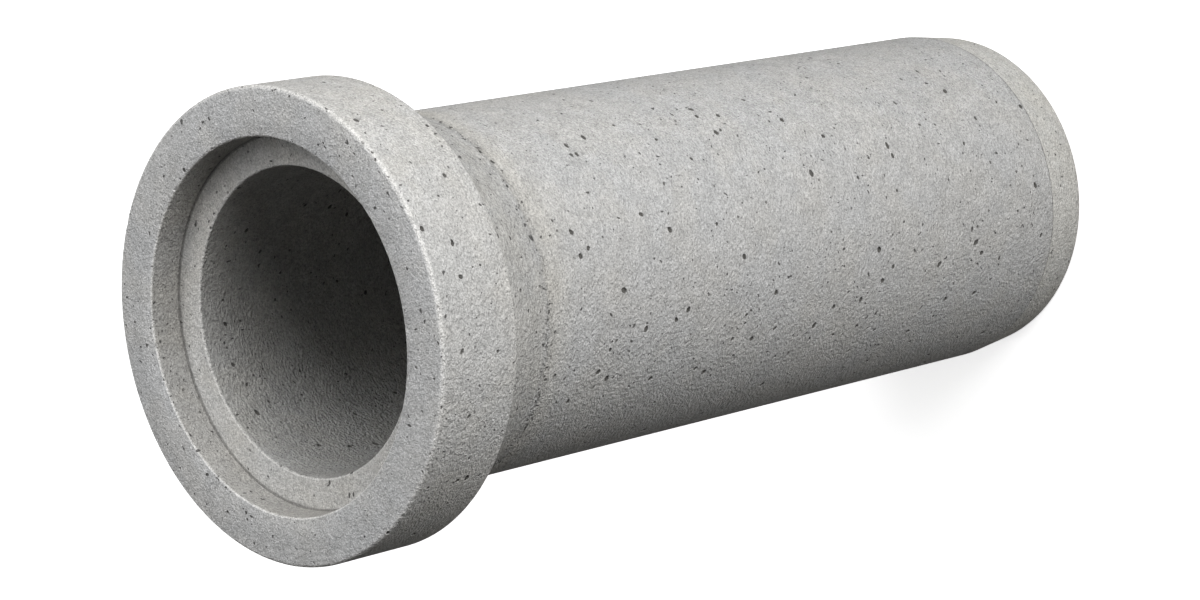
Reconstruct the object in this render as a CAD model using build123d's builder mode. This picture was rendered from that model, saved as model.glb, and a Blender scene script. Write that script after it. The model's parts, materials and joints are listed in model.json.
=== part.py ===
from build123d import *
import os
from math import cos, radians, sin

# Concrete sewer pipe, cast in one piece: a plain bore, a bell with a stepped
# socket at one end and a tapered spigot at the other. It stands upright on
# its spigot end, with the socket open upwards. Millimetres, +Z up. The origin
# is on the pipe's axis, in the plane of the spigot's end face.

# Bore and walls
bore_radius = 150
barrel_wall = 33.5
spigot_tip_wall = 26.5
bell_wall = 48.5

# Joint: the gap is the room left all round the tip of a seated spigot
joint_gap = 5
socket_depth = 35
spigot_length = 62

# Lengths along the pipe; the laying length is what one pipe adds to a line
laying_length = 1000
bell_length = 95
neck_length = 87

# Neck: how far it stands above the barrel where it meets the bell, and how
# steeply it leaves the barrel at the crease
neck_rise = 24
neck_crease_angle = 4

# Rounded edges on the outside, and the small arrises inside, whose size is the
# leg of the chamfer; the socket's root is a sharp corner
bell_rim_round = 4
bell_root_round = 9
spigot_tip_round = 8
mouth_arris = 2
shoulder_arris = 2
bore_end_arris = 2

# Radii that follow
barrel_radius = bore_radius + barrel_wall
spigot_tip_radius = bore_radius + spigot_tip_wall
socket_radius = spigot_tip_radius + joint_gap
bell_radius = socket_radius + bell_wall
neck_top_radius = barrel_radius + neck_rise

# Heights that follow, counted from the spigot's end face
pipe_length = laying_length + socket_depth
bell_back = pipe_length - bell_length
neck_crease = bell_back - neck_length

with BuildPart() as pipe:
    # Half of the section: x is the radius, y is the height
    with BuildSketch(Plane.XZ) as section:
        with BuildLine() as outline:
            # Spigot's end face, its taper and the plain barrel
            Polyline(
                (bore_radius, 0),
                (spigot_tip_radius, 0),
                (barrel_radius, spigot_length),
                (barrel_radius, neck_crease),
            )
            # Neck: a long hollow curve that opens from the barrel to the bell
            TangentArc(
                (barrel_radius, neck_crease),
                (neck_top_radius, bell_back),
                tangent=(sin(radians(neck_crease_angle)), cos(radians(neck_crease_angle))),
            )
            # Bell, stepped socket and bore
            Polyline(
                (neck_top_radius, bell_back),
                (bell_radius, bell_back),
                (bell_radius, pipe_length),
                (socket_radius, pipe_length),
                (socket_radius, laying_length),
                (bore_radius, laying_length),
                (bore_radius, 0),
            )
        make_face()
        for corner, edge_round in (
            ((spigot_tip_radius, 0), spigot_tip_round),
            ((neck_top_radius, bell_back), bell_root_round),
            ((bell_radius, bell_back), bell_rim_round),
            ((bell_radius, pipe_length), bell_rim_round),
        ):
            fillet(section.vertices().sort_by_distance((*corner, 0))[0], edge_round)
        for corner, arris in (
            ((bore_radius, 0), bore_end_arris),
            ((bore_radius, laying_length), shoulder_arris),
            ((socket_radius, pipe_length), mouth_arris),
        ):
            chamfer(section.vertices().sort_by_distance((*corner, 0))[0], arris)
    revolve(axis=Axis.Z)

pipe.part.label = "pipe"
os.makedirs("parts", exist_ok=True)
export_step(pipe.part, "parts/pipe.step")
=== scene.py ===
"""Looks of a concrete sewer pipe: its cast surface, air holes, chipped edges and rough neck.

The pipe stands on its spigot end with the socket open upwards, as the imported
model does. Lengths are in metres, and the z axis is the pipe's own axis.
"""

import json
import logging
import math
import random
from dataclasses import dataclass, field
from enum import Enum
from functools import partial, reduce

import bpy
import numpy as np
from mathutils import Matrix, Quaternion, Vector

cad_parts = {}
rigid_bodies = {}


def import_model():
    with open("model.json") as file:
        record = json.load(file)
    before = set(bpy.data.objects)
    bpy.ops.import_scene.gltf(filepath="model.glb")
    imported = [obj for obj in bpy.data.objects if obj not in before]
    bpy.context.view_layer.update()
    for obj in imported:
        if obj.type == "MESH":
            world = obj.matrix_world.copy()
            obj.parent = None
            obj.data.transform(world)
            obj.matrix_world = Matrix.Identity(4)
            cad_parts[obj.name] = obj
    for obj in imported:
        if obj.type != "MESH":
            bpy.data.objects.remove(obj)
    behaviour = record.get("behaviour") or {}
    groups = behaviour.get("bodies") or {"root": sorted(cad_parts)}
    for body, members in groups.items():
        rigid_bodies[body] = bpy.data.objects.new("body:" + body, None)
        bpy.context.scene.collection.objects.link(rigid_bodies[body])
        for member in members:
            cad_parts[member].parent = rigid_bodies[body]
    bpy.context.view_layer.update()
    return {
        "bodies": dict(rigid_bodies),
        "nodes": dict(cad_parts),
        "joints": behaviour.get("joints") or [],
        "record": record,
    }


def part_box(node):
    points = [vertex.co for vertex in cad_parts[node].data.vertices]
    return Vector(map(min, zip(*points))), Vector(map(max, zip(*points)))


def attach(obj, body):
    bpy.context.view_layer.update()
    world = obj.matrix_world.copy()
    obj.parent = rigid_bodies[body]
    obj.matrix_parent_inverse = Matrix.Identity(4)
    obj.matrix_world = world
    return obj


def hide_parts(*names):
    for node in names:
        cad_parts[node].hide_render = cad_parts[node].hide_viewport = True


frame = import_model()

LOG = logging.getLogger("pipe")
MM = 0.001


class Zone(Enum):
    """The stretches of the pipe's surface that are cast or worn in their own way."""

    END_FACE = "end_face"
    SPIGOT = "spigot"
    BARREL = "barrel"
    NECK = "neck"
    BELL_BACK = "bell_back"
    BELL = "bell"
    BELL_FACE = "bell_face"
    SOCKET = "socket"
    SHOULDER = "shoulder"
    BORE = "bore"


class Tool(Enum):
    """The small shapes that are cut out of the cast surface."""

    BUBBLE = "bubble"
    CHIP = "chip"


@dataclass(frozen=True)
class Corner:
    """One corner of the pipe's half section: its radius, its height and how it is rounded."""

    radius: float
    height: float
    rounding: float = 0.0
    zone: Zone = Zone.BARREL
    profile: float = 0.5

    def point(self) -> Vector:
        """Return the corner's place in the section's plane."""
        return Vector((self.radius, 0.0, self.height))


@dataclass(frozen=True)
class PipeSizes:
    """The pipe's real sizes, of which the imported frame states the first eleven."""

    bore_radius: float
    barrel_radius: float
    socket_radius: float
    bell_radius: float
    length: float
    laying_length: float
    spigot_length: float
    neck_crease: float
    mouth_arris: float
    shoulder_arris: float
    bore_end_arris: float
    spigot_tip_radius: float = 176.5 * MM
    bell_length: float = 95 * MM
    neck_rise: float = 24 * MM
    neck_crease_angle: float = 4.0
    neck_steps: int = 22
    neck_stray: float = 0.35
    neck_ripple: float = 0.45 * MM
    neck_seed: int = 5
    bell_rim_round: float = 4 * MM
    bell_root_round: float = 9 * MM
    spigot_tip_round: float = 8 * MM
    arris_profile: float = 0.38

    @classmethod
    def from_frame(cls, packed: dict) -> "PipeSizes":
        """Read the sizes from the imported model's box and mounts.


        Returns:
            The pipe's sizes in metres.
        """
        mounts = {mount["name"]: mount for mount in packed["record"]["mounts"]}
        radius = {name: mount["dims"].get("r_mm", 0) * MM for name, mount in mounts.items()}
        half = {name: mount["dims"].get("length_mm", 0) * MM / 2 for name, mount in mounts.items()}
        middle = {name: mount["pos_m"][2] for name, mount in mounts.items()}
        length = mounts["bell_face"]["pos_m"][2]
        return cls(
            bore_radius=radius["bore"],
            barrel_radius=radius["barrel"],
            socket_radius=radius["socket"],
            bell_radius=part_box("pipe")[1].x,
            length=length,
            laying_length=middle["socket"] - half["socket"],
            spigot_length=middle["barrel"] - half["barrel"],
            neck_crease=middle["barrel"] + half["barrel"],
            mouth_arris=length - middle["socket"] - half["socket"],
            shoulder_arris=middle["socket"] - half["socket"] - middle["bore"] - half["bore"],
            bore_end_arris=middle["bore"] - half["bore"],
        )

    @property
    def bell_back(self) -> float:
        """Height of the bell's back face."""
        return self.length - self.bell_length

    def neck_curve(self) -> list[Corner]:
        """Work out the hollow curve from the barrel's crease up to the bell's back.

        Returns:
            The curve's uneven steps in order, without its two ends.
        """
        lean = math.radians(self.neck_crease_angle)
        start = Vector((self.barrel_radius, self.neck_crease))
        chord = Vector((self.neck_rise, self.bell_back - self.neck_crease))
        inward = Vector((math.cos(lean), -math.sin(lean)))
        bend = chord.length_squared / (2 * chord.dot(inward))
        centre = start + inward * bend
        sweep = 2 * math.asin(chord.length / (2 * bend))
        chance = random.Random(self.neck_seed)
        curve = []
        for step in range(1, self.neck_steps):
            share = (step + chance.uniform(-self.neck_stray, self.neck_stray)) / self.neck_steps
            place = centre + Matrix.Rotation(-sweep * share, 2) @ (start - centre)
            inset = chance.random() ** 2 * self.neck_ripple
            curve.append(Corner(place.x - inset, place.y, zone=Zone.NECK))
        return curve

    def corners(self) -> list[Corner]:
        """List the half section's corners, from the bore's lower end outwards and up.

        Returns:
            The corners in order, each with the zone of the side that follows it.
        """
        worn = self.arris_profile
        neck_top = self.barrel_radius + self.neck_rise
        return [
            Corner(self.bore_radius, 0, self.bore_end_arris, Zone.END_FACE, worn),
            Corner(self.spigot_tip_radius, 0, self.spigot_tip_round, Zone.SPIGOT),
            Corner(self.barrel_radius, self.spigot_length, 0, Zone.BARREL),
            Corner(self.barrel_radius, self.neck_crease, 0, Zone.NECK),
            *self.neck_curve(),
            Corner(neck_top, self.bell_back, self.bell_root_round, Zone.BELL_BACK),
            Corner(self.bell_radius, self.bell_back, self.bell_rim_round, Zone.BELL),
            Corner(self.bell_radius, self.length, self.bell_rim_round, Zone.BELL_FACE),
            Corner(self.socket_radius, self.length, self.mouth_arris, Zone.SOCKET, worn),
            Corner(self.socket_radius, self.laying_length, 0, Zone.SHOULDER),
            Corner(self.bore_radius, self.laying_length, self.shoulder_arris, Zone.BORE, worn),
        ]


def closed_pairs(items: list) -> list[tuple]:
    """Pair each item with the one after it, and the last with the first."""
    return list(zip(items, items[1:] + items[:1]))


def leave_edit_mode() -> None:
    """Go back to object mode, which stores what was edited."""
    if bpy.context.object and bpy.context.object.mode != "OBJECT":
        bpy.ops.object.mode_set(mode="OBJECT")


def select_none() -> None:
    """Leave edit mode and select nothing, so that an operator acts on new work alone."""
    leave_edit_mode()
    bpy.ops.object.select_all(action="DESELECT")


def edit_vertices(piece: bpy.types.Object, wanted: list[int]) -> None:
    """Enter edit mode with only some vertices selected.

    Args:
        piece: The mesh object to edit, which is the active one.
        wanted: Indices of the vertices to select.
    """
    leave_edit_mode()
    chosen = set(wanted)
    mesh = piece.data
    mesh.vertices.foreach_set("select", [v.index in chosen for v in mesh.vertices])
    for parts in (mesh.edges, mesh.polygons):
        parts.foreach_set("select", [set(part.vertices) <= chosen for part in parts])
    bpy.ops.object.mode_set(mode="EDIT")
    bpy.ops.mesh.select_mode(type="VERT")


def nearest_vertex(piece: bpy.types.Object, place: Vector) -> int:
    """Return the index of the active object's vertex that is closest to a place."""
    leave_edit_mode()
    return min(piece.data.vertices, key=lambda v: (v.co - place).length_squared).index


@dataclass
class Cutters:
    """Small shapes, each modelled once and copied, which are cut out of the pipe together."""

    chance: random.Random
    variants: int = 4
    models: dict = field(default_factory=dict)
    copies: list = field(default_factory=list)
    taken: list = field(default_factory=list)

    def model(self, tool: Tool, segments: int, rings: int, unevenness: float) -> None:
        """Model a few uneven balls of one kind.

        Args:
            tool: The kind that the balls are for.
            segments: Faces round the ball.
            rings: Faces from pole to pole.
            unevenness: How far its vertices stray, as a share of its radius.
        """
        self.models[tool] = []
        for variant in range(self.variants):
            select_none()
            bpy.ops.mesh.primitive_uv_sphere_add(segments=segments, ring_count=rings, radius=1)
            ball = bpy.context.object
            bpy.ops.object.mode_set(mode="EDIT")
            bpy.ops.mesh.select_all(action="SELECT")
            bpy.ops.transform.vertex_random(offset=unevenness, uniform=1, seed=variant)
            leave_edit_mode()
            self.models[tool].append(ball)

    def is_free(self, place: Vector, reach: float) -> bool:
        """Tell whether a place is out of the reach of all bubbles so far."""
        return all((other - place).length_squared >= (reach + r) ** 2 for other, r in self.taken)

    def add(self, tool: Tool, place: Vector, normal: Vector, along: Vector, size: Vector) -> None:
        """Add one copy of a shape.

        Args:
            tool: The kind of shape to copy.
            place: Its centre.
            normal: The surface's outward direction there.
            along: The direction of its first axis, in the surface.
            size: Its half sizes along, across and into the surface.
        """
        across = normal.cross(along)
        turn = Matrix((along * size.x, across * size.y, normal * size.z)).transposed()
        model = self.chance.choice(self.models[tool])
        copy = model.copy()
        copy.data = model.data.copy()
        copy.data.transform(Matrix.Translation(place) @ turn.to_4x4())
        self.copies.append(copy)

    def join(self) -> bpy.types.Object:
        """Join all copies, and remove the balls that they were made from.

        Returns:
            The joined object.
        """
        select_none()
        for ball in sum(self.models.values(), []):
            bpy.data.objects.remove(ball)
        for copy in self.copies:
            bpy.context.scene.collection.objects.link(copy)
            copy.select_set(True)
        bpy.context.view_layer.objects.active = self.copies[0]
        bpy.ops.object.join()
        return bpy.context.object


@dataclass(frozen=True)
class HolePlan:
    """A zone's air holes: how many for each square metre, how large and of what shape.

    Clearance, end margin and depths are shares of a hole's size, and lift is
    a share of its depth.
    """

    per_square_metre: float
    smallest: float = 1.5 * MM
    largest: float = 3.8 * MM
    small_bias: float = 1.7
    clearance: float = 1.6
    end_margin: float = 1.5
    turn_spread: float = 0.9
    stretches: tuple = (1.0, 1.45, 1.05)
    depths: tuple = (0.6, 0.95)
    lift: float = 0.1

    def add_bubble(self, cutters: Cutters, place: Vector, normal: Vector) -> None:
        """Add one air hole, unless it would run into another or over the pipe's lower end.

        Args:
            cutters: Where the bubble is added.
            place: A point on the surface.
            normal: The outward direction there.
        """
        chance = cutters.chance
        size = self.smallest + (self.largest - self.smallest) * chance.random() ** self.small_bias
        reach = self.clearance * size
        if not cutters.is_free(place, reach):
            return
        cutters.taken.append((place, reach))
        if place.z < size * self.end_margin:
            return
        around = Vector((0, 0, 1)).cross(normal)
        if around.length < 0.5:
            around = Vector((-place.y, place.x, 0)).normalized()
        turn = Quaternion(normal, chance.gauss(0, self.turn_spread))
        along = (turn @ around).normalized()
        stretch = chance.triangular(*self.stretches)
        depth = size * chance.uniform(*self.depths)
        sides = Vector((size * stretch, size / stretch**0.5, depth))
        cutters.add(Tool.BUBBLE, place + normal * depth * self.lift, normal, along, sides)


@dataclass(frozen=True)
class WornEdge:
    """One round edge of the pipe, with small bits chipped off it.

    A chip's length and lift are shares of its own size. Its slide, and how far
    the middle of the round lies inside the corner, are shares of the rounding.
    """

    radius: float
    height: float
    rounding: float
    outward: Vector
    chip_spacing_mm: float
    stagger: float = 0.45
    smallest_mm: float = 0.7
    size_range_mm: float = 1.8
    small_bias: int = 3
    lengths: tuple = (1.0, 2.2)
    lifts: tuple = (0.35, 0.75)
    slide: float = 0.5
    inside: float = 1 - math.sqrt(0.5)

    def middle(self) -> Vector:
        """Return the middle of the edge's round, in the section's plane."""
        corner = Vector((self.radius, 0, self.height))
        return corner - self.outward * self.rounding * self.inside

    def add_chips(self, cutters: Cutters) -> None:
        """Add chips all round the edge.

        Args:
            cutters: Where the chips are added.
        """
        chance = cutters.chance
        outward = self.outward.normalized()
        sideways = Vector((outward.z, 0, -outward.x))
        count = int(math.tau * self.radius / (self.chip_spacing_mm * MM))
        for step in range(count):
            angle = math.tau * (step + chance.uniform(-self.stagger, self.stagger)) / count
            turn = Matrix.Rotation(angle, 3, "Z")
            size = MM * (self.smallest_mm + self.size_range_mm * chance.random() ** self.small_bias)
            along = size * chance.uniform(*self.lengths)
            lift = size * chance.uniform(*self.lifts)
            slide = sideways * chance.uniform(-self.slide, self.slide) * self.rounding
            place = turn @ (self.middle() + outward * lift + slide)
            around = turn @ Vector((0, 1, 0))
            cutters.add(Tool.CHIP, place, turn @ outward, around, Vector((along, size, size)))


@dataclass(frozen=True)
class Scratch:
    """One shallow scratch on the barrel, between two places given as an angle and a height."""

    start: tuple
    end: tuple
    width: float = 1.5 * MM
    lift: float = 0.2

    def add_to(self, cutters: Cutters, radius: float) -> None:
        """Add one long, thin chip that cuts the scratch.

        Args:
            cutters: Where the chip is added.
            radius: The barrel's radius.
        """
        ends = []
        for angle, height in (self.start, self.end):
            turn = Matrix.Rotation(math.radians(angle), 3, "Z")
            ends.append(turn @ Vector((radius, 0, height * MM)))
        middle = (ends[0] + ends[1]) / 2
        outward = Vector((middle.x, middle.y, 0)).normalized()
        run = ends[1] - ends[0]
        sides = Vector((run.length / 2, self.width / 2, self.width / 2))
        place = middle + outward * self.width * self.lift
        cutters.add(Tool.CHIP, place, outward, run.normalized(), sides)


@dataclass
class CastPipe:
    """The pipe's body: spun from its section, then pitted and chipped."""

    sizes: PipeSizes
    turns: int = 192
    round_steps: int = 6
    longest_step: float = 32 * MM
    weld: float = 0.01 * MM
    smooth_angle: float = 32.0
    seed: int = 21
    hole_plans: tuple = (
        (Zone.BARREL, HolePlan(520)),
        (Zone.BELL, HolePlan(500, largest=3.5 * MM)),
        (Zone.BELL_FACE, HolePlan(300, largest=2.7 * MM)),
        (Zone.NECK, HolePlan(350, largest=2.2 * MM)),
        (Zone.SPIGOT, HolePlan(220, largest=2.0 * MM)),
        (Zone.SHOULDER, HolePlan(150, largest=1.8 * MM)),
        (Zone.SOCKET, HolePlan(250, largest=2.0 * MM)),
        (Zone.BELL_BACK, HolePlan(300, largest=2.2 * MM)),
        (Zone.END_FACE, HolePlan(300, largest=2.4 * MM)),
        (Zone.BORE, HolePlan(520)),
    )
    crease_width: float = 8 * MM
    scratches: tuple = (
        Scratch((-133.0, 144), (-130.8, 131)),
        Scratch((-131.2, 88), (-130.1, 73)),
    )
    body: bpy.types.Object = None
    outline: list = field(default_factory=list)

    def draw_section(self) -> None:
        """Draw the half section as an outline: one vertex extruded from corner to corner."""
        corners = self.sizes.corners()
        select_none()
        bpy.ops.mesh.primitive_plane_add(size=2, location=(0, 0, 0))
        self.body = bpy.context.object
        self.body.name = self.body.data.name = "cast_pipe"
        edit_vertices(self.body, [1, 2, 3])
        bpy.ops.mesh.delete(type="VERT")
        edit_vertices(self.body, [0])
        start = self.body.data.vertices[0].co.copy()
        bpy.ops.transform.translate(value=corners[0].point() - start)
        for here, there in zip(corners, corners[1:]):
            step = there.point() - here.point()
            bpy.ops.mesh.extrude_vertices_move(TRANSFORM_OT_translate={"value": step})
        bpy.ops.mesh.select_all(action="SELECT")
        bpy.ops.mesh.edge_face_add()
        for corner in corners:
            if corner.rounding:
                self.round_corner(corner, corners)
        bpy.ops.mesh.select_all(action="SELECT")
        bpy.ops.mesh.delete(type="ONLY_FACE")
        self.split_long_steps()

    def round_corner(self, corner: Corner, corners: list[Corner]) -> None:
        """Round one corner of the section.

        Args:
            corner: The corner to round.
            corners: All corners in order, which give the angle between its edges.
        """
        place = corners.index(corner)
        before = (corners[place - 1].point() - corner.point()).normalized()
        after = (corners[(place + 1) % len(corners)].point() - corner.point()).normalized()
        edit_vertices(self.body, [nearest_vertex(self.body, corner.point())])
        bpy.ops.mesh.bevel(
            affect="VERTICES",
            offset=corner.rounding / math.tan(before.angle(after) / 2),
            segments=self.round_steps,
            profile=corner.profile,
        )

    def split_long_steps(self) -> None:
        """Divide the outline's long straight runs, so that the spun quads stay handy."""
        leave_edit_mode()
        places = [v.co.copy() for v in self.body.data.vertices]
        runs = [tuple(edge.vertices) for edge in self.body.data.edges]
        for first, last in runs:
            cuts = int((places[first] - places[last]).length / self.longest_step)
            if cuts:
                ends = [nearest_vertex(self.body, places[i]) for i in (first, last)]
                edit_vertices(self.body, ends)
                bpy.ops.mesh.subdivide(number_cuts=cuts)
        leave_edit_mode()

    def read_outline(self) -> None:
        """Keep the rounded outline in order, each point with the zone of the step after it.

        The walk starts half-way up the bore and goes down.
        """
        mesh = self.body.data
        links = {v.index: [] for v in mesh.vertices}
        for edge in mesh.edges:
            first, last = edge.vertices
            links[first].append(last)
            links[last].append(first)
        start = nearest_vertex(self.body, Vector((self.sizes.bore_radius, 0, 0.5)))
        walk = [start, min(links[start], key=lambda i: mesh.vertices[i].co.z)]
        while True:
            ahead = next(i for i in links[walk[-1]] if i != walk[-2])
            if ahead == start:
                break
            walk.append(ahead)
        sides = closed_pairs(self.sizes.corners())
        for here, there in closed_pairs([mesh.vertices[i].co for i in walk]):
            middle = (here + there) / 2
            zone = min(sides, key=lambda side: self.off_side(middle, side))[0].zone
            self.outline.append(Corner(here.x, here.z, zone=zone))

    @staticmethod
    def off_side(place: Vector, side: tuple[Corner, Corner]) -> float:
        """Measure how far a place is from one straight side of the sharp section.

        Args:
            place: A place in the section's plane.
            side: The side's two corners.

        Returns:
            The distance in metres.
        """
        start, end = side[0].point(), side[1].point()
        run = end - start
        share = max(0.0, min(1.0, (place - start).dot(run) / run.length_squared))
        return (start + run * share - place).length

    def spin_section(self) -> None:
        """Spin the outline round the pipe's axis into a closed skin that faces outwards."""
        edit_vertices(self.body, list(range(len(self.body.data.vertices))))
        bpy.ops.mesh.spin(
            steps=self.turns, angle=math.tau, center=(0, 0, 0), axis=(0, 0, 1), use_auto_merge=True
        )
        bpy.ops.mesh.select_all(action="SELECT")
        bpy.ops.mesh.remove_doubles(threshold=self.weld)
        bpy.ops.mesh.normals_make_consistent(inside=False)
        leave_edit_mode()

    def worn_edges(self) -> list[WornEdge]:
        """List the round edges that are chipped, and the crease that is left rough.

        Returns:
            The edges in the order in which they are cut.
        """
        s = self.sizes
        crease = (s.barrel_radius, s.neck_crease, self.crease_width, Vector((1, 0, 0)), 4.5)
        return [
            WornEdge(s.bell_radius, s.length, s.bell_rim_round, Vector((1, 0, 1)), 4.5),
            WornEdge(s.bell_radius, s.bell_back, s.bell_rim_round, Vector((1, 0, -1)), 8),
            WornEdge(s.socket_radius, s.length, s.mouth_arris, Vector((-1, 0, 1)), 6),
            WornEdge(s.bore_radius, s.laying_length, s.shoulder_arris, Vector((-1, 0, 1)), 6),
            WornEdge(*crease, inside=0.0),
        ]

    def pick_places(
        self, zone: Zone, density: float, chance: random.Random
    ) -> list[tuple[Vector, Vector]]:
        """Pick places in a zone, spread by area.

        Args:
            zone: The stretch of surface to use.
            density: How many places to pick for each square metre.
            chance: Where the random numbers come from.

        Returns:
            Pairs of a point on the surface and the outward normal there.
        """
        found = []
        for start, end in closed_pairs(self.outline):
            if start.zone is not zone:
                continue
            run = end.point() - start.point()
            area = run.length * math.pi * (start.radius + end.radius)
            expected = area * density
            count = int(expected) + (chance.random() < expected - int(expected))
            outward = Vector((run.z, 0, -run.x)).normalized()
            for _ in range(count):
                turn = Matrix.Rotation(chance.uniform(0, math.tau), 3, "Z")
                place = start.point() + run * chance.random()
                found.append((turn @ place, turn @ outward))
        return found

    def cut_holes_and_chips(self) -> None:
        """Cut every air hole and every chipped bit of edge out of the body."""
        cutters = Cutters(random.Random(self.seed))
        cutters.model(Tool.BUBBLE, segments=8, rings=6, unevenness=0.10)
        cutters.model(Tool.CHIP, segments=6, rings=4, unevenness=0.25)
        for zone, plan in self.hole_plans:
            places = self.pick_places(zone, plan.per_square_metre, cutters.chance)
            for place, normal in places:
                plan.add_bubble(cutters, place, normal)
        LOG.info("air holes: %d", len(cutters.taken))
        for edge in self.worn_edges():
            edge.add_chips(cutters)
        for scratch in self.scratches:
            scratch.add_to(cutters, self.sizes.barrel_radius)
        self.cut_out(cutters.join())

    def cut_out(self, cutter: bpy.types.Object) -> None:
        """Cut one object out of the body, and remove it.

        Args:
            cutter: The mesh object to cut with.
        """
        select_none()
        bpy.context.view_layer.objects.active = self.body
        self.body.select_set(True)
        bpy.ops.object.modifier_add(type="BOOLEAN")
        cut = self.body.modifiers[-1]
        cut.object = cutter
        cut.operation = "DIFFERENCE"
        cut.solver = "MANIFOLD"
        bpy.ops.object.modifier_apply(modifier=cut.name)
        bpy.data.objects.remove(cutter)
        self.body.data.materials.clear()

    def mark_hollows(self) -> None:
        """Store how deep each vertex lies under the cast surface, by which the material paints
        shade and dirt into the holes.
        """
        mesh = self.body.data
        count = len(mesh.vertices)
        places = np.empty(count * 3, np.float32)
        mesh.vertices.foreach_get("co", places)
        places = places.reshape(-1, 3)
        flat = np.stack([np.hypot(places[:, 0], places[:, 1]), places[:, 2]], axis=1)
        depth = np.full(count, np.inf)
        for here, there in closed_pairs(self.outline):
            start = np.array((here.radius, here.height))
            run = np.array((there.radius, there.height)) - start
            share = np.clip((flat - start) @ run / (run @ run), 0, 1)
            gap = np.linalg.norm(start + share[:, None] * run - flat, axis=1)
            depth = np.minimum(depth, gap)
        hollow = mesh.attributes.new("hollow", "FLOAT", "POINT")
        hollow.data.foreach_set("value", (depth / MM).astype(np.float32))

    def build(self) -> bpy.types.Object:
        """Model the whole body.

        Returns:
            The finished mesh object, with its place in its mesh.
        """
        self.draw_section()
        self.read_outline()
        self.spin_section()
        self.cut_holes_and_chips()
        self.mark_hollows()
        bpy.ops.object.shade_smooth_by_angle(angle=math.radians(self.smooth_angle))
        self.body.data.calc_loop_triangles()
        LOG.info("cast_pipe: %d triangles", len(self.body.data.loop_triangles))
        return self.body


class Sheet:
    """Lays nodes into one tree and wires them, so that a recipe reads from top to bottom."""

    def __init__(self, tree: bpy.types.NodeTree) -> None:
        """Keep the tree that nodes are added to."""
        self.tree = tree

    def feed(self, target: bpy.types.NodeSocket, value: object) -> None:
        """Wire a socket into another, or set its plain value.

        Args:
            target: The input to feed.
            value: The value, or the socket to wire in.
        """
        if isinstance(value, bpy.types.NodeSocket):
            self.tree.links.new(value, target)
        else:
            target.default_value = value

    def fill(self, made: bpy.types.Node, inputs: dict) -> None:
        """Feed a node's inputs by name, with _ for a space."""
        for key, value in inputs.items():
            self.feed(made.inputs[key.replace("_", " ")], value)

    def node(self, kind: str, settings: dict | None = None, *values, **named) -> bpy.types.Node:
        """Add a node.

        Args:
            kind: The node's type, without its ShaderNode prefix.
            settings: Properties to set on the node.
            *values: Values or sockets for its first inputs, in order.
            **named: Values or sockets for its inputs by name, with _ for a space.

        Returns:
            The new node.
        """
        made = self.tree.nodes.new("ShaderNode" + kind)
        for key, value in (settings or {}).items():
            setattr(made, key, value)
        for target, value in zip(made.inputs, values):
            self.feed(target, value)
        self.fill(made, named)
        return made

    def math(self, operation: str, *values: object) -> bpy.types.NodeSocket:
        """Return the result of a math node on values or sockets."""
        return self.node("Math", {"operation": operation}, *values).outputs[0]

    def vector(self, operation: str, *values: object) -> bpy.types.NodeSocket:
        """Return the result of a vector math node on values or sockets."""
        result = "Value" if operation == "LENGTH" else "Vector"
        return self.node("VectorMath", {"operation": operation}, *values).outputs[result]

    def product(self, *factors: object) -> bpy.types.NodeSocket:
        """Return the product of values or sockets."""
        return reduce(partial(self.math, "MULTIPLY"), factors)

    def total(self, *parts: object) -> bpy.types.NodeSocket:
        """Return the sum of values or sockets."""
        return reduce(partial(self.math, "ADD"), parts)

    def centred(self, value: object, gain: float, middle: float = 0.5) -> bpy.types.NodeSocket:
        """Return how far a value is above a middle, times a gain."""
        return self.product(self.math("SUBTRACT", value, middle), gain)

    def gap(self, value: object, middle: object) -> bpy.types.NodeSocket:
        """Return how far a value is from a middle, to either side."""
        return self.math("ABSOLUTE", self.math("SUBTRACT", value, middle))

    def span(
        self, value: object, low: object, high: object, to_low: float = 0.0, to_high: float = 1.0
    ) -> bpy.types.NodeSocket:
        """Return the value mapped smoothly from one range to another, and kept inside it."""
        smooth = {"interpolation_type": "SMOOTHSTEP"}
        return self.node("MapRange", smooth, value, low, high, to_low, to_high).outputs["Result"]

    def noise(
        self, place: object, scale: object, detail: float = 2.0, roughness: float = 0.5
    ) -> bpy.types.NodeSocket:
        """Return a noise texture's value at a place."""
        return self.node("TexNoise", None, place, 0.0, scale, detail, roughness).outputs[0]

    def blend(
        self, share: object, first: object, second: object, how: str = "MIX"
    ) -> bpy.types.NodeSocket:
        """Mix two colours.

        Args:
            share: How much of the second colour, from 0 to 1.
            first: The first colour.
            second: The second colour.
            how: Blender's name for the blend.

        Returns:
            The mixed colour's socket.
        """
        made = self.node("Mix", {"data_type": "RGBA", "blend_type": how}, share)
        for index, value in ((6, first), (7, second)):
            self.feed(made.inputs[index], value)
        return made.outputs[2]

    def brighten(self, colour: object, lift: bpy.types.NodeSocket) -> bpy.types.NodeSocket:
        """Return a colour made lighter or darker by a factor."""
        grey = self.node("CombineXYZ", None, lift, lift, lift).outputs[0]
        return self.blend(1.0, colour, grey, "MULTIPLY")

    def group(self, tree: bpy.types.NodeTree, **inputs) -> bpy.types.NodeOutputs:
        """Place a node group with its own values or sockets, and return what it puts out."""
        return self.node("Group", {"node_tree": tree}, **inputs).outputs


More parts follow.
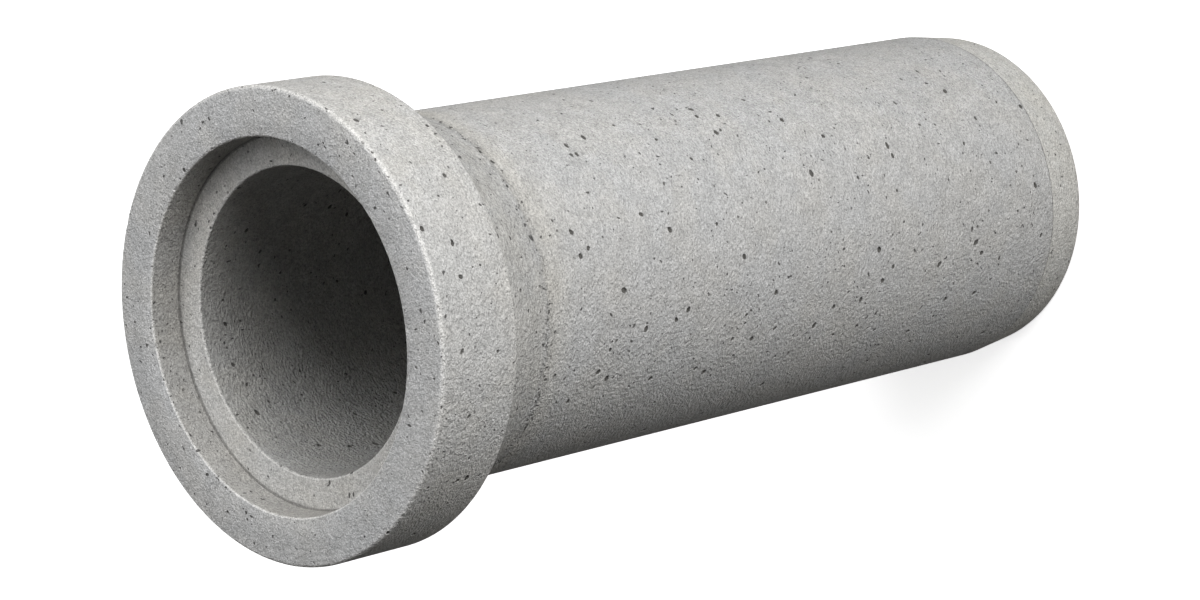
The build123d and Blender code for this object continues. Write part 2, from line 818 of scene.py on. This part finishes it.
class Effect(Sheet):
    """A shader node group, as a sheet of its own; only its Place is a vector."""

    takes: tuple = ()
    gives: tuple = ()

    def __init__(self) -> None:
        """Build the group's tree, its sockets and its recipe."""
        super().__init__(bpy.data.node_groups.new(type(self).__name__, "ShaderNodeTree"))
        for names, way in ((self.takes, "INPUT"), (self.gives, "OUTPUT")):
            for name in names:
                kind = "NodeSocketVector" if name == "Place" else "NodeSocketFloat"
                self.tree.interface.new_socket(name, in_out=way, socket_type=kind)
        self.given = self.tree.nodes.new("NodeGroupInput").outputs
        self.result = self.tree.nodes.new("NodeGroupOutput")
        self.draw()

    def draw(self) -> None:
        """Lay the recipe between what is given and the result."""
        raise NotImplementedError


class PipeStations(Effect):
    """Where a point is on the pipe: its distance from the axis and its height, in millimetres."""

    gives = ("Place", "Radius", "Height")

    def draw(self) -> None:
        """Measure the radius and height from Object coordinates."""
        metres = self.node("TexCoord").outputs["Object"]
        place = self.vector("MULTIPLY", metres, (1000, 1000, 1000))
        radius = self.vector("LENGTH", self.vector("MULTIPLY", place, (1, 1, 0)))
        height = self.node("SeparateXYZ", Vector=place).outputs["Z"]
        self.fill(self.result, {"Place": place, "Radius": radius, "Height": height})


class SandyGrain(Effect):
    """Fine sand in the cement skin: a tone about zero, and a height from 0 to 1."""

    takes = ("Place", "Grain")
    gives = ("Tone", "Height")

    def draw(self) -> None:
        """Mix soft noise at the grain's size, clumps of it and single lighter or darker grains."""
        place = self.given["Place"]
        fine = self.math("DIVIDE", 1.0, self.given["Grain"])
        soft = self.noise(place, fine, 1.0, 0.6)
        clumps = self.noise(place, self.product(fine, 0.3), 3.0, 0.7)
        grains = self.node("TexVoronoi", Vector=place, Scale=fine).outputs["Color"]
        single = self.node("SeparateColor", Color=grains).outputs[0]
        gains = ((soft, 2.4), (clumps, 0.9), (single, 0.9))
        tone = self.total(*(self.centred(part, gain) for part, gain in gains))
        height = self.product(self.total(soft, self.product(clumps, 0.6)), 0.62)
        self.fill(self.result, {"Tone": tone, "Height": height})


class PinHoles(Effect):
    """Pin-sized air holes too small to model: a mask, 1 inside a hole."""

    takes = ("Place", "Spacing", "Size", "Share")
    gives = ("Mask",)

    def draw(self) -> None:
        """Keep the middles of some of the cells of a bent cell pattern."""
        place, spacing = self.given["Place"], self.given["Spacing"]
        wobble = self.node("TexNoise", Vector=place, Scale=0.13, Detail=1.0).outputs["Color"]
        bent = self.vector("ADD", place, self.vector("MULTIPLY", wobble, (9, 9, 9)))
        scale = self.math("DIVIDE", 1.0, spacing)
        cells = self.node("TexVoronoi", Vector=bent, Scale=scale).outputs
        drawn = self.node("SeparateColor", Color=cells["Color"]).outputs
        spread = self.math("MULTIPLY_ADD", self.math("POWER", drawn[1], 3.0), 1.5, 0.45)
        size = self.product(self.given["Size"], spread)
        reach = self.product(cells["Distance"], spacing)
        inside = self.span(reach, size, self.product(size, 0.55))
        kept = self.math("LESS_THAN", drawn[0], self.given["Share"])
        self.fill(self.result, {"Mask": self.product(inside, kept)})


class RubbedEdge(Effect):
    """Rubbed, grainy light along one round edge: a mask."""

    takes = ("Radius", "Height", "Edge Radius", "Edge Height", "Reach", "Breakup")
    gives = ("Mask",)
    unbroken = 0.45

    def draw(self) -> None:
        """Fade with the distance from the edge, broken up by a noise."""
        squares = []
        for side in ("Radius", "Height"):
            off = self.math("SUBTRACT", self.given[side], self.given["Edge " + side])
            squares.append(self.math("POWER", off, 2.0))
        away = self.math("SQRT", self.total(*squares))
        stray = self.centred(self.given["Breakup"], 2.6, self.unbroken)
        share = self.total(self.math("DIVIDE", away, self.given["Reach"]), stray)
        self.fill(self.result, {"Mask": self.span(share, 1.0, 0.5)})


class RingMarks(Effect):
    """Marks of a tool drawn round the pipe: a tone about zero."""

    takes = ("Place", "Width")
    gives = ("Tone",)

    def draw(self) -> None:
        """Stretch a noise round the pipe."""
        stretched = self.vector("MULTIPLY", self.given["Place"], (0.12, 0.12, 1.0))
        marks = self.noise(stretched, self.math("DIVIDE", 1.0, self.given["Width"]), 3.0, 0.65)
        self.fill(self.result, {"Tone": self.centred(marks, 2.0)})


class Finish(Sheet):
    """A material, as a sheet that ends in its Principled shader."""

    title: str

    def __init__(self) -> None:
        """Start the material."""
        self.material = bpy.data.materials.new(self.title)
        self.material.use_nodes = True
        super().__init__(self.material.node_tree)

    def shade(self, **inputs) -> bpy.types.Material:
        """Feed the shader by the names of its inputs, and return the material."""
        self.fill(self.tree.nodes["Principled BSDF"], inputs)
        return self.material


class ConcreteFinish(Finish):
    """Bare cast concrete, with the colours of its zones, the wear on its edges and painted shade in
    its holes, seam and corners.
    """

    title = "cast_concrete"
    base: tuple = (0.453, 0.450, 0.444, 1)
    cool: tuple = (0.444, 0.447, 0.450, 1)
    warm: tuple = (0.464, 0.456, 0.439, 1)
    rubbed: tuple = (0.80, 0.79, 0.77, 1)
    # A dark colour for painted shade: in the air holes (with dirt), in the socket's inner corner,
    # along the spigot's step and in the seam.
    hole: tuple = (0.11, 0.107, 0.10, 1)
    # Painted shade in the pin holes that are too small to model.
    pit: tuple = (0.075, 0.073, 0.07, 1)
    zone_tints: tuple = (
        ("spigot", (1.17, 1.16, 1.122, 1)),
        # Darker neck tint: painted shade on the neck under the bell's back.
        ("neck", (0.89, 0.885, 0.868, 1)),
        ("past_seam", (1.02, 1.005, 0.97, 1)),
        ("bell", (1.05, 1.043, 1.026, 1)),
        ("bell_face", (1.02, 1.023, 1.027, 1)),
        # Darker socket tint: painted shade inside the socket.
        ("socket", (0.82, 0.805, 0.775, 1)),
        ("shoulder", (1.04, 1.032, 1.01, 1)),
        ("bore", (0.84, 0.835, 0.815, 1)),
    )
    grain_mm: float = 1.7
    grain_contrast: float = 0.4
    ring_mark_mm: float = 1.6
    ring_mark_contrast: float = 0.5
    pin_spacing_mm: float = 5.0
    pin_mm: float = 1.1
    pin_share: float = 0.3
    worn_inset: float = 0.35
    roughness: float = 0.9
    specular: float = 0.25

    def __init__(self, sizes: PipeSizes) -> None:
        """Start the material, and work out where each zone and pin hole lies.

        Args:
            sizes: The pipe's sizes.
        """
        super().__init__()
        self.sizes = sizes
        self.edge = RubbedEdge().tree
        self.place, self.radius, self.height = self.group(PipeStations().tree)
        self.grain = self.group(SandyGrain().tree, Place=self.place, Grain=self.grain_mm)
        self.zones = self.zone_masks()
        crumbly = self.zones["seam_band"]
        self.pins = self.group(
            PinHoles().tree,
            Place=self.place,
            Spacing=self.pin_spacing_mm,
            Size=self.math("MULTIPLY_ADD", crumbly, 0.5, self.pin_mm),
            Share=self.math("MULTIPLY_ADD", crumbly, 0.55, self.pin_share),
        )["Mask"]

    def build(self) -> bpy.types.Material:
        """Lay the colours, the wear and painted shade on them, and the fine relief.

        Returns:
            The concrete.
        """
        tone = self.grain["Tone"]
        marks = self.group(RingMarks().tree, Place=self.place, Width=self.ring_mark_mm)["Tone"]
        colour = self.mottled()
        for zone, tint in self.zone_tints:
            colour = self.blend(self.zones[zone], colour, tint, "MULTIPLY")
        on_neck = self.product(marks, self.zones["neck"], self.ring_mark_contrast)
        lift = self.total(self.product(tone, self.grain_contrast), on_neck, 1.0)
        colour = self.brighten(colour, lift)
        for mask, share, tint in self.wear():
            colour = self.blend(self.product(mask, share), colour, tint)
        bump = self.node("Bump", Height=self.relief(), Distance=MM, Strength=1.0)
        return self.shade(
            Base_Color=colour,
            Roughness=self.math("MULTIPLY_ADD", tone, 0.05, self.roughness),
            Specular_IOR_Level=self.specular,
            Normal=bump.outputs["Normal"],
        )

    def mottled(self) -> bpy.types.NodeSocket:
        """Lay the base colour with broad cool and warm patches and cloudy light ones.

        Returns:
            The colour's socket.
        """
        broad = self.span(self.noise(self.place, 0.011, 2.0, 0.55), 0.36, 0.64)
        aside = self.vector("ADD", self.place, (700, 0, 0))
        warmth = self.span(self.noise(aside, 0.02, 2.0, 0.6), 0.42, 0.68)
        cloud = self.noise(self.place, 0.05, 3.0, 0.7)
        colour = self.blend(self.product(broad, 0.75), self.base, self.cool)
        colour = self.blend(self.product(warmth, 0.55), colour, self.warm)
        return self.brighten(colour, self.span(cloud, 0.3, 0.7, 0.93, 1.07))

    def wear(self) -> tuple:
        """List what darkens or lightens the cast skin, in the order in which it is laid on: painted
        shade in the socket's inner corner and along the spigot's step, wear on the round edges,
        dark crumbs with painted shade in the seam, and painted shade in the pin holes and, with
        dirt, in the air holes.

        Returns:
            For each effect its mask, how strong it is, and its colour.
        """
        zones, s = self.zones, self.sizes
        # Painted shade and dirt in the air holes, darker with the depth under the cast surface and
        # fainter in the seam band.
        hollow = self.node("Attribute", {"attribute_name": "hollow"}).outputs["Fac"]
        fainter = self.math("MULTIPLY_ADD", zones["seam_band"], -0.6, 1.0)
        hole = self.product(self.span(hollow, 0.1, 1.2), fainter)
        # Painted shade: a dark line in the inner corner between the socket wall and the shoulder.
        root = self.edge_mask(s.socket_radius, s.laying_length, 2.4, RubbedEdge.unbroken)
        return (
            (root, 0.55, self.hole),
            # Painted shade along the spigot's step.
            (zones["spigot_line"], 0.4, self.hole),
            (self.rubbed_edges(), 0.62, self.rubbed),
            # Dark crumbs and painted shade in the seam's groove.
            (zones["seam"], 0.10, self.hole),
            # Painted shade in the pin holes.
            (self.pins, 0.9, self.pit),
            (hole, 1.0, self.hole),
        )

    def relief(self) -> bpy.types.NodeSocket:
        """Add up the skin's fine relief.

        Returns:
            The height's socket, in millimetres.
        """
        zones = self.zones
        creased = self.vector("MULTIPLY", self.place, (0.6, 0.6, 1.0))
        wrinkle = self.noise(creased, 0.4, 2.0, 0.65)
        uneven = self.math("MULTIPLY_ADD", zones["bore"], 0.8, zones["seam_band"])
        smooth = self.math("SUBTRACT", self.total(zones["bell_face"], zones["shoulder"]), uneven)
        total = 0.0
        for part, millimetres in (
            (self.grain["Height"], 1.2),
            (wrinkle, self.math("MULTIPLY_ADD", smooth, -2.0, 3.5)),
            (self.pins, -1.0),
            (zones["seam"], -1.0),
            (zones["spigot"], -1.0),
        ):
            total = self.math("MULTIPLY_ADD", part, millimetres, total)
        return total

    def zone_masks(self) -> dict[str, bpy.types.NodeSocket]:
        """Work out where each zone lies, on boundaries that wander a little.

        Returns:
            Masks from 0 to 1 by name.
        """
        s, radius, height = self.sizes, self.radius, self.height
        bore, socket, bell_side = (r / MM for r in (s.bore_radius, s.socket_radius, s.bell_radius))
        spigot_top, crease, back = (h / MM for h in (s.spigot_length, s.neck_crease, s.bell_back))
        laying, mouth = s.laying_length / MM, s.length / MM
        wall = (s.bore_radius + s.spigot_tip_radius) / 2 / MM

        wander = self.centred(self.noise(self.place, 0.045, 4.0, 0.65), 14.0)
        ragged, loose, wavy, uneven = (
            self.math("MULTIPLY_ADD", wander, share, height) for share in (0.08, 0.3, 0.6, 1.0)
        )
        outside = self.math("GREATER_THAN", radius, wall)
        on_neck = self.product(outside, self.math("LESS_THAN", height, back + 1))
        off_line = self.gap(ragged, spigot_top + 0.4)
        off_seam = self.gap(loose, crease)
        patchy = self.span(self.noise(self.place, 0.25, 3.0, 0.7), 0.42, 0.62)
        fading = self.span(uneven, crease - 42, crease - 8)
        below = self.span(uneven, crease + 3, crease - 3)

        in_bore = self.math("LESS_THAN", radius, bore + 0.8)
        ring = self.math("SUBTRACT", self.math("LESS_THAN", radius, socket + 1), in_bore)
        above = self.math("GREATER_THAN", height, laying + 0.3)
        step = self.math("SUBTRACT", self.math("GREATER_THAN", height, laying - 2.5), above)
        bell = self.math("GREATER_THAN", radius, bell_side - 2)
        at_face = self.math("GREATER_THAN", height, mouth - 1.5)
        plain = self.span(ragged, spigot_top + 0.6, spigot_top - 0.8)
        return {
            "spigot": self.product(plain, outside),
            # Painted shade: a thin dark line all round along the spigot's step.
            "spigot_line": self.product(self.span(off_line, 1.1, 0.2), outside),
            "past_seam": self.product(fading, below, on_neck),
            "seam": self.product(self.span(off_seam, 2.4, 0.3), patchy, on_neck),
            "seam_band": self.product(self.span(off_seam, 8.0, 3.0), on_neck),
            "neck": self.product(self.span(wavy, crease - 4, crease + 9), on_neck),
            "bell": bell,
            "bell_face": self.product(at_face, self.math("SUBTRACT", 1.0, bell)),
            "socket": self.product(above, ring),
            "shoulder": self.product(step, ring),
            "bore": in_bore,
        }

    def edge_mask(
        self, radius: float, height: float, reach: float, breakup: object
    ) -> bpy.types.NodeSocket:
        """Mark the skin close to one edge.

        Args:
            radius: The edge's radius in metres.
            height: The edge's height in metres.
            reach: How far the mask reaches, in millimetres.
            breakup: The noise that breaks it up, or RubbedEdge.unbroken.

        Returns:
            The mask's socket.
        """
        edge = self.group(
            self.edge,
            Radius=self.radius,
            Height=self.height,
            Edge_Radius=radius / MM,
            Edge_Height=height / MM,
            Reach=reach,
            Breakup=breakup,
        )
        return edge["Mask"]

    def rubbed_edges(self) -> bpy.types.NodeSocket:
        """Join the light, grainy wear on all round edges in one mask.

        Returns:
            The mask's socket.
        """
        s = self.sizes
        rounds = (s.bell_rim_round, s.mouth_arris, s.shoulder_arris)
        rim, mouth, shoulder = (rounding * self.worn_inset for rounding in rounds)
        breakup = self.noise(self.place, 0.6, 2.0, 0.8)
        total = 0.0
        for radius, height, reach in (
            (s.bell_radius - rim, s.length - rim, 3.5),
            (s.bell_radius - rim, s.bell_back + rim, 2.2),
            (s.socket_radius + mouth, s.length - mouth, 1.8),
            (s.bore_radius + shoulder, s.laying_length - shoulder, 1.7),
        ):
            total = self.math("MAXIMUM", self.edge_mask(radius, height, reach, breakup), total)
        speckle = self.span(self.noise(self.place, 0.75, 1.0, 0.5), 0.42, 0.56, 0.25, 1.0)
        return self.product(total, speckle)


class FloorFinish(Finish):
    """The pale studio floor, lit a little more for the eye than for the pipe above it."""

    title = "pale_floor"
    colour: tuple = (0.92, 0.92, 0.92, 1)
    bounce: tuple = (0.40, 0.390, 0.372, 1)
    dark: tuple = (0, 0, 0, 1)
    mottle: float = 0.985
    glow: float = 0.74
    roughness: float = 0.95
    specular: float = 0.1

    def build(self) -> bpy.types.Material:
        """Lay the floor's colour with a very faint mottle.

        Returns:
            The floor's material.
        """
        place = self.node("TexCoord").outputs["Object"]
        lift = self.span(self.noise(place, 1.5), 0.3, 0.7)
        deeper = tuple(self.mottle * value for value in self.colour[:3]) + (1,)
        pale = self.blend(lift, self.colour, deeper)
        seen = self.node("LightPath").outputs["Is Camera Ray"]
        return self.shade(
            Base_Color=self.blend(seen, self.bounce, pale),
            Emission_Color=self.blend(seen, self.dark, pale),
            Emission_Strength=self.glow,
            Roughness=self.roughness,
            Specular_IOR_Level=self.specular,
        )


@dataclass(frozen=True)
class PhotoCamera:
    """The photo's camera. The photo shows the pipe lying, so the camera is turned on its side."""

    distance: float = 3.6594
    elevation: float = 45.005
    roll: float = 101.92
    aim: tuple = (-0.0373, 0.0, 0.6022)
    lens: float = 106.8
    view_end: float = 60.0

    def place(self) -> None:
        """Put the camera in the scene, turned and rolled, and make it the one that is used."""
        lean = math.radians(self.elevation)
        back = Vector((0, -math.cos(lean), math.sin(lean)))
        level_up = Vector((0, math.sin(lean), math.cos(lean)))
        up = Quaternion(back, -math.radians(self.roll)) @ level_up
        turn = Matrix((up.cross(back), up, back)).transposed().to_4x4()
        bpy.ops.object.camera_add()
        camera = bpy.context.object
        camera.name = "photo_camera"
        camera.data.lens, camera.data.clip_end = self.lens, self.view_end
        camera.matrix_world = Matrix.Translation(Vector(self.aim) + back * self.distance) @ turn
        bpy.context.scene.camera = camera


@dataclass(frozen=True)
class SoftBox:
    """One round soft studio light, placed round the pipe by its azimuth and elevation."""

    name: str
    azimuth: float
    elevation: float
    power: float
    size: float = 2.0
    distance: float = 4.0

    def place(self, target: Vector) -> None:
        """Hang the light and turn it to its target.

        Args:
            target: The place that it faces.
        """
        turn, rise = math.radians(self.azimuth), math.radians(self.elevation)
        level = math.cos(rise)
        way = Vector((level * math.cos(turn), level * math.sin(turn), math.sin(rise)))
        bpy.ops.object.light_add(type="AREA", location=target + way * self.distance)
        light = bpy.context.object
        light.name = self.name
        light.data.shape, light.data.size, light.data.energy = "DISK", self.size, self.power
        light.visible_camera = False
        light.rotation_mode = "QUATERNION"
        light.rotation_quaternion = way.to_track_quat("Z", "Y")


@dataclass
class Studio:
    """Floor, lights, daylight from all round and the camera."""

    camera: PhotoCamera = PhotoCamera()
    floor_side: float = 14.0
    air: tuple = (1.0, 0.98, 0.95, 1)
    room_light: float = 0.02
    backdrop: float = 0.82
    target: tuple = (0, 0, 0.52)
    boxes: tuple = (
        SoftBox("key", 300, 22, 98),
        SoftBox("low_key", 281, 9, 78),
        SoftBox("side_top", 0, 45, 55),
        SoftBox("top", 0, 65, 34.5),
        SoftBox("overhead", 0, 90, 17),
        SoftBox("behind", 92, 0, 78, size=0.9),
    )

    def lay_floor(self) -> None:
        """Lay the floor under the pipe."""
        select_none()
        bpy.ops.mesh.primitive_plane_add(size=self.floor_side, location=(0, 0, 0))
        floor = bpy.context.object
        floor.name = floor.data.name = "studio_floor"
        floor.data.materials.append(FloorFinish().build())

    def fill_air(self) -> None:
        """Light the world faintly all round, and more strongly where the camera sees it."""
        world = bpy.data.worlds.new("studio_air")
        world.use_nodes = True
        background = world.node_tree.nodes["Background"]
        background.inputs["Color"].default_value = self.air
        sheet = Sheet(world.node_tree)
        seen = sheet.node("LightPath").outputs["Is Camera Ray"]
        more = self.backdrop - self.room_light
        strength = sheet.math("MULTIPLY_ADD", seen, more, self.room_light)
        sheet.feed(background.inputs["Strength"], strength)
        bpy.context.scene.world = world

    def build(self) -> None:
        """Set up the whole studio."""
        self.lay_floor()
        self.fill_air()
        bpy.context.scene.view_settings.view_transform = "Standard"
        for box in self.boxes:
            box.place(Vector(self.target))
        self.camera.place()
        LOG.info("studio: %d soft lights", len(self.boxes))


def main() -> None:
    """Build the pipe and the studio in order, and report each."""
    logging.basicConfig(level=logging.INFO, format="%(name)s: %(message)s")
    sizes = PipeSizes.from_frame(frame)
    body = CastPipe(sizes).build()
    body.data.materials.append(ConcreteFinish(sizes).build())
    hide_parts("pipe")
    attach(body, "root")
    Studio().build()
    bpy.context.view_layer.update()


if __name__ == "__main__":
    main()
